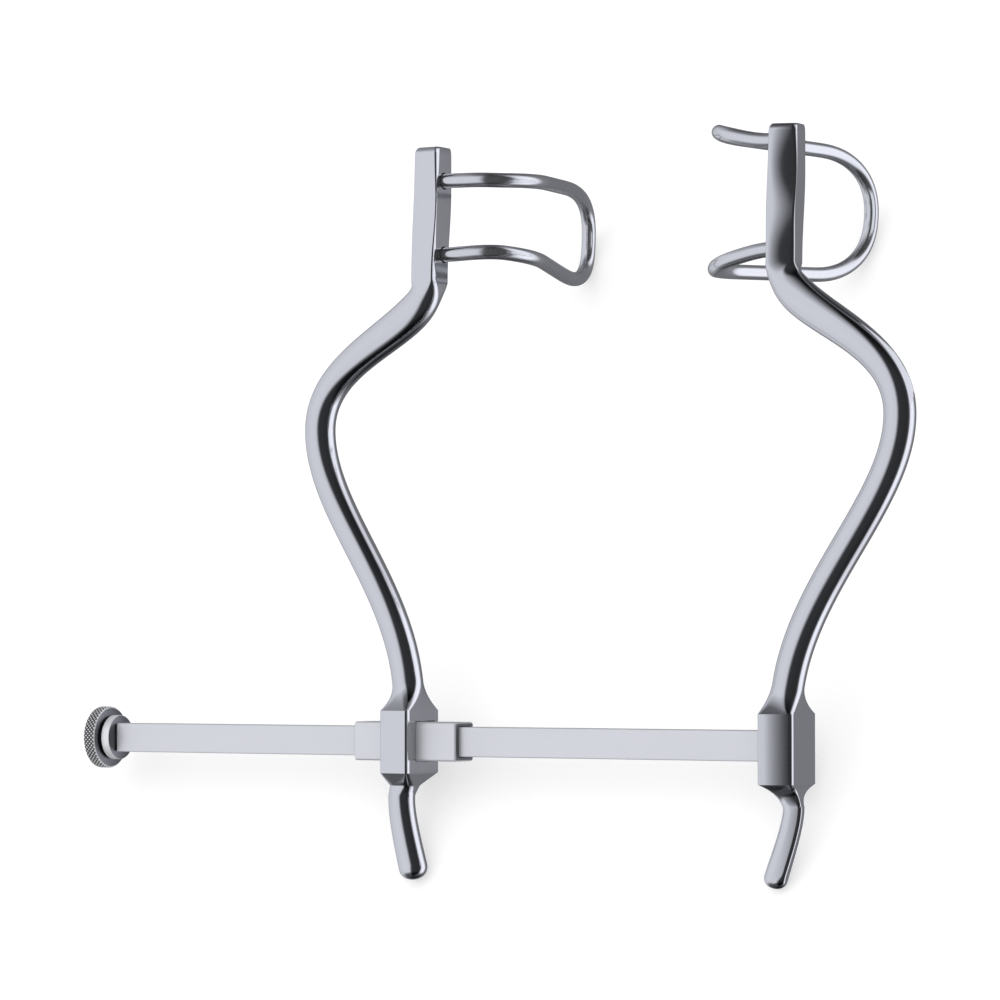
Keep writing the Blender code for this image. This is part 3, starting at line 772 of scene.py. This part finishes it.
def blade_holes(side, middle, legs):
    """Pegs for the two blind holes in a tip's inner face."""
    radius = WIRE / 2 + SEAT_GAP
    start_x = OPENING / 2 - SEAT_GAP if side > 0 else -OPENING / 2 - BLADE_SEAT
    pegs = []
    for sign in (-1, 1):
        start = (start_x, middle + sign * legs / 2, -TIP_SINK)
        pegs.append(round_peg("hole_tool", start, BLADE_SEAT + SEAT_GAP, radius))
    return pegs


half_x = BOX_WIDTH / 2 + SEAT_GAP
half_y = SLEEVE_HEIGHT / 2 + SEAT_GAP
slot = on_rail(-BOX_X - half_x, half_x - BOX_X, half_y, SLEEVE_DEPTH / 2 + SEAT_GAP)
slot_tool = rounded_block("slot_tool", slot, 0, polished)
cut_away(sliding_arm, [slot_tool] + blade_holes(-1, NARROW_MIDDLE, NARROW_LEGS))

half_y = RAIL_HEIGHT / 2 + SEAT_GAP
half_z = RAIL_THICKNESS / 2 + SEAT_GAP
pocket = on_rail(BOX_X - half_x, RAIL_HELD_END + SEAT_GAP, half_y, half_z)
pocket_tool = rounded_block("pocket_tool", pocket, 0, polished)
cut_away(fixed_arm, [pocket_tool] + blade_holes(1, WIDE_MIDDLE, WIDE_LEGS))

keep_flats(fixed_arm)
settle(fixed_arm, "frame", "fixed_arm")
keep_flats(sliding_arm)
settle(sliding_arm, "slider", "sliding_arm")

# %% [markdown]
# Each blade is one length of 4 mm wire. It leaves the tip level, bends down over a mandrel in a
# bend that opens out, leans back under its own arm and rounds over at the foot. Both were bent by
# hand over the same mandrel, so they share its radius and differ in the rest.

# %% Line of a wire loop
BLADE_BEND = 9.35 * MM
BLADE_BEND_TURN = math.radians(60)
BLADE_LOWER_BEND = 22 * MM
BLADE_DEPTH = 72 * MM
LEG_STEPS = 90
FOOT_STEPS = 60


class Loop(SimpleNamespace):
    """One wire loop. Its legs stand legs apart, after flare they are bend apart, at the foot spread.
    reach is the level run at the tip, foot_round and fullness shape the foot's round, and drift
    and twist are how the foot hangs askew."""

    def __init__(self, **sizes):
        super().__init__(**sizes)
        self.turn = math.pi / 2 + self.lean
        self.lower_start = self.reach + BLADE_BEND * BLADE_BEND_TURN
        self.bent = self.lower_start + BLADE_LOWER_BEND * (self.turn - BLADE_BEND_TURN)
        rest = BLADE_DEPTH - self.profile(self.bent)[1]
        self.whole = self.bent + rest / math.cos(self.lean)

    def profile(self, run):
        """Place on a leg, seen from the side: inboard of the tip's face and down."""
        first = min(max(run - self.reach, 0.0) / BLADE_BEND, BLADE_BEND_TURN)
        angle = first + max(run - self.lower_start, 0.0) / BLADE_LOWER_BEND
        angle = min(angle, self.turn)
        rest = max(run - self.bent, 0.0)
        inboard = min(run, self.reach) + BLADE_BEND * math.sin(first)
        inboard += BLADE_LOWER_BEND * (math.sin(angle) - math.sin(first))
        inboard -= rest * math.sin(self.lean)
        down = BLADE_BEND * (1 - math.cos(first))
        down += BLADE_LOWER_BEND * (math.cos(first) - math.cos(angle))
        down += rest * math.cos(self.lean)
        return inboard, down

    def apart(self, run):
        """Distance between the legs, before the foot rounds them over."""
        if run < self.flare:
            return mix(self.legs, self.bend, ease(run / self.flare))
        return mix(self.bend, self.spread, (run - self.flare) / (self.whole - self.flare))

    def path(self, side):
        """Middle line of the loop, in the frame's axes."""
        straight_end = self.whole - self.foot_round
        runs = []
        for step in range(LEG_STEPS):
            runs.append((mix(SEAT_GAP - BLADE_SEAT, straight_end, step / LEG_STEPS), 1.0))
        for step in range(FOOT_STEPS + 1):
            angle = math.pi / 2 * step / FOOT_STEPS
            along = math.sin(angle) ** (2 / self.fullness)
            narrowing = max(math.cos(angle), 0.0) ** (2 / self.fullness)
            runs.append((mix(straight_end, self.whole, along), narrowing))
        half = [(run, self.apart(run) / 2 * narrowing) for run, narrowing in runs]
        other = [(run, -along) for run, along in reversed(half[:-1])]
        path = []
        for run, along in half + other:
            inboard, down = self.profile(run)
            turned = math.sin(self.twist) * along * ease(run / self.bent)
            x = side * (OPENING / 2 - inboard + turned)
            y = self.middle + along + self.drift * down / BLADE_DEPTH
            path.append(Vector((x, y, -down - TIP_SINK)))
        return path


print("bend of the wire in mm:", BLADE_BEND / MM)

# %% The two loops
narrow_loop = Loop(
    middle=NARROW_MIDDLE, legs=NARROW_LEGS, flare=16.8 * MM, bend=19.5 * MM, spread=27.6 * MM,
    foot_round=32.8 * MM, fullness=2.8, reach=8.6 * MM, drift=-0.9 * MM,
    lean=math.radians(15.4), twist=math.radians(-2.0),
)
wide_loop = Loop(
    middle=WIDE_MIDDLE, legs=WIDE_LEGS, flare=23.9 * MM, bend=36.2 * MM, spread=32.7 * MM,
    foot_round=22.2 * MM, fullness=2.3, reach=10.8 * MM, drift=0.7 * MM,
    lean=math.radians(16.7), twist=math.radians(3.3),
)
print("legs in mm:", [round(loop.whole / MM, 1) for loop in (narrow_loop, wide_loop)])

# %% [markdown]
# Drawn wire has the same round section everywhere, so the loop is a circle swept along its line.
# The circle's own frame is carried along without twisting, which keeps the grain parallel to the
# wire. The line is smoothed a little first, as a bend made by hand has no sudden start.

# %% The two wire blades
WIRE_SIDES = 32
WIRE_SPACING = 0.7 * MM
SMOOTHINGS = 6
WIRE_SHARP = 60


def evenly(path):
    """The same line with its points at even distances, smoothed a little."""
    walked = ring_lengths(path)
    count = round(walked[-1] / WIRE_SPACING)
    places = np.linspace(0, walked[-1], count + 1)
    columns = [np.interp(places, walked, [point[axis] for point in path]) for axis in range(3)]
    line = np.stack(columns, axis=1)
    for _ in range(SMOOTHINGS):
        line[1:-1] = (line[:-2] + 2 * line[1:-1] + line[2:]) / 4
    return [Vector(point) for point in line]


def swept_wire(name, path, radius):
    """Round wire along a line."""
    line = evenly(path)
    last = len(line) - 1
    across = Vector((0, 1, 0))
    rings = []
    for place, point in enumerate(line):
        forward = (line[min(place + 1, last)] - line[max(place - 1, 0)]).normalized()
        across = (across - forward * across.dot(forward)).normalized()
        third = forward.cross(across)
        ring = []
        for side in range(WIRE_SIDES):
            angle = 2 * math.pi * side / WIRE_SIDES
            ring.append(point + (across * math.cos(angle) + third * math.sin(angle)) * radius)
        rings.append(ring)
    return loft(name, rings, drawn, WIRE_SHARP)


for name, loop, side, body, node in (
    ("fixed_wire_loop", wide_loop, 1, "frame", "fixed_blade"),
    ("sliding_wire_loop", narrow_loop, -1, "slider", "sliding_blade"),
):
    path = loop.path(side)
    print(name, "wire length in mm:", round(ring_lengths(path)[-1] / MM, 1))
    settle(swept_wire(name, path, WIRE / 2), body, node)

# %% [markdown]
# The rail is a drawn flat bar with its long edges broken by a file. The sleeve is a rectangular
# tube, brazed through the sliding arm's box, with a quarter of a millimetre of play on the rail.
# When the wound pulls on the blade the sleeve tilts by that play and grips, which is what holds
# the retractor open. Both are plain blocks with rounded edges, and the tube is hollowed by a
# Boolean. Only its outside was brushed. Its ends and its inside get a dark tone, painted shade
# for the shadow in the tube and on its ends.

# %% Rail and sleeve
RAIL_EDGE = 0.35 * MM
SLEEVE_LENGTH = 32.2 * MM
SLEEVE_X = BOX_X - 0.8 * MM
SLEEVE_CORNER = 0.7 * MM
# How squarely an end looks along the rail, to get the painted shade
END_FACING = 0.9
TRAVEL_TO_OPEN = 80 * MM
STOP_GAP = 0.4 * MM
SCREW = 4.0 * MM
SCREW_LENGTH = 9.0 * MM
RAIL_FREE_END = -SLEEVE_X - SLEEVE_LENGTH / 2 - TRAVEL_TO_OPEN - STOP_GAP + SEAT_GAP

rail_line = on_rail(RAIL_FREE_END, RAIL_HELD_END, RAIL_HEIGHT / 2, RAIL_THICKNESS / 2)
rail = rounded_block("rail_bar", rail_line, RAIL_EDGE, satin)
bore_start = (RAIL_FREE_END - SEAT_GAP, 0, -RAIL_SETBACK)
bore = round_peg("bore_tool", bore_start, SCREW_LENGTH + 2 * SEAT_GAP, SCREW / 2 + SEAT_GAP)
cut_away(rail, [bore])
keep_flats(rail)
settle(rail, "frame", "rail")

sleeve_from = -SLEEVE_X - SLEEVE_LENGTH / 2
sleeve_to = -SLEEVE_X + SLEEVE_LENGTH / 2
sleeve_line = on_rail(sleeve_from, sleeve_to, SLEEVE_HEIGHT / 2, SLEEVE_DEPTH / 2)
sleeve = rounded_block("sleeve_tube", sleeve_line, SLEEVE_CORNER, satin, segments=6)
play = Vector((SLEEVE_WALL_SIDE, SLIDE_CLEARANCE, SLIDE_CLEARANCE))
inside_low, inside_high = on_rail(sleeve_from, sleeve_to, RAIL_HEIGHT / 2, RAIL_THICKNESS / 2)
inside = (inside_low - play, inside_high + play)
cut_away(sleeve, [rounded_block("tube_tool", inside, 0, satin)])
# Painted shade: the sleeve's ends and inner walls get the dark tone
sleeve.data.materials.append(painted_shade)
sleeve_middle = stand @ Vector((-SLEEVE_X, 0, -RAIL_SETBACK))
for polygon in sleeve.data.polygons:
    outwards = polygon.center - sleeve_middle
    outwards.x = 0
    if abs(polygon.normal.x) > END_FACING or polygon.normal.dot(outwards) < 0:
        polygon.material_index = 1
keep_flats(sleeve)
settle(sleeve, "slider", "slide_sleeve")

# %% [markdown]
# The end screw was turned from round bar, and its head was knurled with two wheels of slanting
# teeth, which press crossing grooves and leave rows of small diamonds. A bump map would keep the
# outline smooth, and here the outline shows the teeth, so the knurl is real geometry. Each point
# of the rim moves in by the depth of two crossing sets of grooves, and the mesh keeps that depth
# for the finish, which paints the grooves near black: oil and dust, and painted shade for the
# shadow in them. The faces were left as the lathe cut them, and their dark tone is painted shade.

# %% Knurl
KNOB = 17.3 * MM
KNURL_TEETH = 48
KNURL_DEPTH = 0.3 * MM
KNURL_FLAT = 0.45


def knurl(angle, height):
    """How far the rim is pressed in at one place: 0 on a diamond's flat top, 1 in a groove."""
    turns = angle * KNURL_TEETH / (2 * math.pi)
    slide = height / (math.pi * KNOB / KNURL_TEETH)
    pressed = 0.0
    for phase in (turns + slide, turns - slide):
        pressed = max(pressed, abs(2 * (phase - math.floor(phase)) - 1))
    return max(0.0, (pressed - KNURL_FLAT) / (1 - KNURL_FLAT))


print("knurl pitch in mm:", round(math.pi * KNOB / KNURL_TEETH / MM, 2))

# %% Profile of the end screw
KNOB_THICKNESS = 3.8 * MM
KNOB_EDGE = 0.4 * MM
BOSS = 12.4 * MM
BOSS_LENGTH = 2.6 * MM
NECK = 8.6 * MM
NECK_LENGTH = 0.8 * MM
KNURL_ROWS = 28
BOSS_BACK = KNOB_THICKNESS + NECK_LENGTH + BOSS_LENGTH


def screw_profile():
    """Radius along the screw, as (height, radius, share of knurl) from the outer face inwards."""
    rim = KNOB / 2
    edge = KNOB_EDGE
    chamfer = (
        (0.0, rim - edge * 1.6, 0.0),
        (edge * 0.15, rim - edge * 1.2, 0.0),
        (edge, rim - edge * 0.2, 0.6),
    )
    profile = [(0.0, 0.4 * MM, 0.0), (0.0, rim * 0.5, 0.0), *chamfer]
    for row in range(KNURL_ROWS + 1):
        profile.append((mix(edge * 1.3, KNOB_THICKNESS - edge * 1.3, row / KNURL_ROWS), rim, 1.0))
    for height, radius, share in reversed(chamfer):
        profile.append((KNOB_THICKNESS - height, radius, share))
    boss = KNOB_THICKNESS + NECK_LENGTH
    for height, radius in (
        (KNOB_THICKNESS, NECK / 2 + 0.5 * MM),
        (KNOB_THICKNESS + 0.05 * MM, NECK / 2),
        (boss - 0.05 * MM, NECK / 2),
        (boss, BOSS / 2 - 0.2 * MM),
        (boss + 0.15 * MM, BOSS / 2),
        (BOSS_BACK - edge, BOSS / 2),
        (BOSS_BACK - edge * 0.3, BOSS / 2 - edge * 0.3),
        (BOSS_BACK, BOSS / 2 - edge),
        (BOSS_BACK, SCREW / 2 + 0.1 * MM),
        (BOSS_BACK + 0.1 * MM, SCREW / 2),
        (BOSS_BACK + SCREW_LENGTH - 0.3 * MM, SCREW / 2),
        (BOSS_BACK + SCREW_LENGTH, SCREW / 2 - 0.3 * MM),
    ):
        profile.append((height, radius, 0.0))
    return profile


print("rings of the screw:", len(screw_profile()))

# %% Knurled end screw
KNURL_SHARP = 30
POINTS_PER_TOOTH = 10
knob_face = Vector((RAIL_FREE_END - SEAT_GAP - BOSS_BACK, 0, -RAIL_SETBACK))
knob_sides = KNURL_TEETH * POINTS_PER_TOOTH
knob_rings = []
grooves = []
for height, radius, share in screw_profile():
    ring = []
    for side in range(knob_sides):
        angle = 2 * math.pi * side / knob_sides
        pressed = share * knurl(angle, height)
        reach = radius - KNURL_DEPTH * pressed
        ring.append(knob_face + Vector((height, math.cos(angle) * reach, math.sin(angle) * reach)))
        grooves.append(min(1.0, 2 * pressed))
    knob_rings.append(ring)
end_screw = loft("knurled_end_screw", knob_rings, turned, KNURL_SHARP)
# The groove depth lets the finish paint dirt and painted shade into the grooves
depth_map = end_screw.data.attributes.new("groove", "FLOAT", "POINT")
for place, pressed in enumerate(grooves):
    depth_map.data[place].value = pressed
# Painted shade: the faces that look along the screw get the dark tone
end_screw.data.materials.append(painted_shade)
for polygon in end_screw.data.polygons:
    if abs(polygon.normal.x) > END_FACING:
        polygon.material_index = 1
keep_flats(end_screw)
settle(end_screw, "stop", "end_screw")

# %% [markdown]
# The camera repeats the photograph's view. It stands some way off with a long lens, a little
# below the middle of the frame's height and 30 degrees round to the right of the frame's front,
# as measured from the photograph. The numbers are in the frame's own axes, and the standing
# matrix turns them onto the table.

# %% Camera
FOCAL_PIXELS = 4247
PHOTO_PIXELS = 1000
CAMERA_DISTANCE = 1.136
CAMERA_ROUND = math.radians(30.271)
CAMERA_RISE = math.radians(-1.941)
LOOK_AT = Vector((-0.028266, 0.064742, 0.0))
SENSOR = 36

right = Vector((math.cos(CAMERA_ROUND), 0, -math.sin(CAMERA_ROUND)))
level = math.cos(CAMERA_RISE)
forward = -Vector((math.sin(CAMERA_ROUND) * level, math.sin(CAMERA_RISE), math.cos(CAMERA_ROUND) * level))
up = right.cross(forward)
in_frame = Matrix((right, up, -forward)).transposed().to_4x4()
in_frame.translation = LOOK_AT - forward * CAMERA_DISTANCE
lens_data = bpy.data.cameras.new("photo_camera")
lens_data.sensor_width = SENSOR
lens_data.lens = SENSOR * FOCAL_PIXELS / PHOTO_PIXELS
lens_data.clip_start = 0.01
camera = in_scene("photo_camera", lens_data)
camera.matrix_world = stand @ in_frame
bpy.context.scene.camera = camera
print("camera at", [round(value, 3) for value in camera.matrix_world.translation])

# %% [markdown]
# Polished steel has no look of its own: it shows the studio. In the photograph a broad soft box
# stands on the left, the dark room opens behind the camera, and white card closes the right
# side, with the shaded table below it. Lamps could be placed one by one, but a world that gives
# each direction its brightness is simpler to aim and has no grain. Its bands run along the
# instrument's length, so one angle round that axis sets the light, and the far ends fade out.

# %% Studio that the steel mirrors
world = bpy.data.worlds.new("studio")
bpy.context.scene.world = world
world.use_nodes = True
sky = world.node_tree

# Degrees round the instrument's length, 0 towards the camera, 90 to the right, and brightness
BANDS = (
    (-180, 0.16), (-162, 0.36), (-140, 0.78), (-95, 0.90), (-62, 0.94), (-30, 0.88), (-22, 0.45),
    (-13, 0.050), (54, 0.036), (66, 0.16), (74, 1.25), (98, 1.45), (109, 1.10),
    (118, 0.30), (130, 0.25), (150, 0.20), (180, 0.16),
)
# Degrees up towards the arm tips, and the share of light left there
ENDS = ((-90, 0.08), (-60, 0.12), (-50, 0.30), (-34, 1.0), (35, 1.0), (52, 0.6), (66, 0.2), (90, 0.1))
STUDIO_TINT = (0.97, 0.985, 1.06, 1.0)


def ramp(stops, angle):
    """Colour from pairs of angle and brightness."""
    low = stops[0][0]
    high = stops[-1][0]
    span = add_node(sky, "MapRange", {"Value": angle, "From Min": low, "From Max": high})
    curve = add_node(sky, "ValToRGB", {"Fac": span.outputs["Result"]})
    elements = curve.color_ramp.elements
    for place, (degrees, bright) in enumerate(stops):
        position = (degrees - low) / (high - low)
        stop = elements[place] if place < 2 else elements.new(position)
        stop.position = position
        stop.color = (bright, bright, bright, 1.0)
    return curve.outputs["Color"]


def calculation(operation, first, second=0.0, kind="Math"):
    """Answer of a math node of one or two inputs."""
    node = sky.nodes.new("ShaderNode" + kind)
    node.operation = operation
    feed(sky, node.inputs[0], first)
    feed(sky, node.inputs[1], second)
    return node.outputs["Value"]


print("studio bands:", len(BANDS), "and fades:", len(ENDS))

# %% [markdown]
# Each direction is turned into two angles, one round the instrument and one towards the arm tips,
# and each angle looks up its brightness. The photograph's background was cut out to white, so the
# camera and all matt surfaces see plain white, and only mirrors see the studio.

# %% Wire up the studio
towards = add_node(sky, "TexCoord", {}).outputs["Generated"]
to_right, to_front, to_tips = (
    calculation("DOT_PRODUCT", towards, stand.to_3x3() @ axis, "VectorMath")
    for axis in (right, -forward, up)
)
bands = ramp(BANDS, calculation("DEGREES", calculation("ARCTAN2", to_right, to_front)))
ends = ramp(ENDS, calculation("DEGREES", calculation("ARCSINE", to_tips)))
faded = mixed_colour(sky, bands, ends, 1.0, "MULTIPLY")
tinted = mixed_colour(sky, faded, STUDIO_TINT, 1.0, "MULTIPLY")

seen = add_node(sky, "LightPath", {})
plain = calculation("MAXIMUM", seen.outputs["Is Camera Ray"], seen.outputs["Is Diffuse Ray"])
backdrop = mixed_colour(sky, tinted, (1.0, 1.0, 1.0, 1.0), plain)
sky.links.new(backdrop, sky.nodes["Background"].inputs["Color"])
print("studio nodes:", len(sky.nodes))

# %% [markdown]
# The table is a plain white floor, a light table that glows a little by itself. The white
# backdrop lights it from all round, and one large soft lamp overhead adds the little that is
# missing, so only a faint shadow is left under the instrument. The steel doesn't mirror the lamp
# or the floor, because the studio already stands for both.

# %% Floor and soft lamp
FLOOR_REACH = 3.0
LAMP_SIZE = 2.4
LAMP_WATTS = 8
LAMP_PLACE = (0.2, 0.1, 1.6)


def sheet(name, points, faces, values):
    """Thin sheet with a plain material, whose shader holds these values."""
    material = bpy.data.materials.new(name)
    material.use_nodes = True
    shader = material.node_tree.nodes["Principled BSDF"]
    for socket, value in values.items():
        shader.inputs[socket].default_value = value
    mesh = bpy.data.meshes.new(name)
    mesh.from_pydata(points, [], faces)
    mesh.materials.append(material)
    return in_scene(name, mesh)


floor_paint = {
    "Base Color": (0.6, 0.6, 0.6, 1.0),
    "Roughness": 0.9,
    "Emission Color": (1.0, 1.0, 1.0, 1.0),
    "Emission Strength": 0.42,
}
floor_corners = [(x * FLOOR_REACH, y * FLOOR_REACH, 0) for x, y in ((-1, -1), (1, -1), (1, 1), (-1, 1))]
floor = sheet("white_table", floor_corners, [(0, 1, 2, 3)], floor_paint)
floor.visible_glossy = False

lamp_data = bpy.data.lights.new("overhead_lamp", "AREA")
lamp_data.shape = "DISK"
lamp_data.size = LAMP_SIZE
lamp_data.energy = LAMP_WATTS
lamp = in_scene("overhead_lamp", lamp_data)
lamp.location = LAMP_PLACE
lamp.visible_glossy = False
bpy.context.scene.view_settings.view_transform = "Standard"
print("floor in m:", 2 * FLOOR_REACH)

# %% [markdown]
# In the photograph the foot of the wide loop is almost white, with one grey line along its inner
# side, though everything round it mirrors the dark room. A small white card close beside it does
# that: the wire mirrors the card, and the arm above mirrors past it. Only mirror rays see the
# card, so it neither shades the table nor stands in the picture.

# %% Fill card beside the wide loop
# In mm, as pairs of X and Z
CARD_LINE = ((90, -30), (140, -15), (200, -20), (240, -60))
CARD_LOW = 95 * MM
CARD_HIGH = 175 * MM
CARD_STEPS = 16

card_points = []
for step in range(CARD_STEPS + 1):
    place = bezier([Vector((x, 0, z)) * MM for x, z in CARD_LINE], step / CARD_STEPS)
    for height in (CARD_LOW, CARD_HIGH):
        card_points.append(stand @ (place + Vector((0, height, 0))))
card_faces = [(2 * step, 2 * step + 1, 2 * step + 3, 2 * step + 2) for step in range(CARD_STEPS)]
card_white = {
    "Base Color": (0.0, 0.0, 0.0, 1.0),
    "Specular IOR Level": 0.0,
    "Emission Color": STUDIO_TINT,
    "Emission Strength": 1.1,
}
card = sheet("fill_card", card_points, card_faces, card_white)
card.visible_camera = False
card.visible_diffuse = False
card.visible_shadow = False
print("fill card of", CARD_STEPS, "faces")
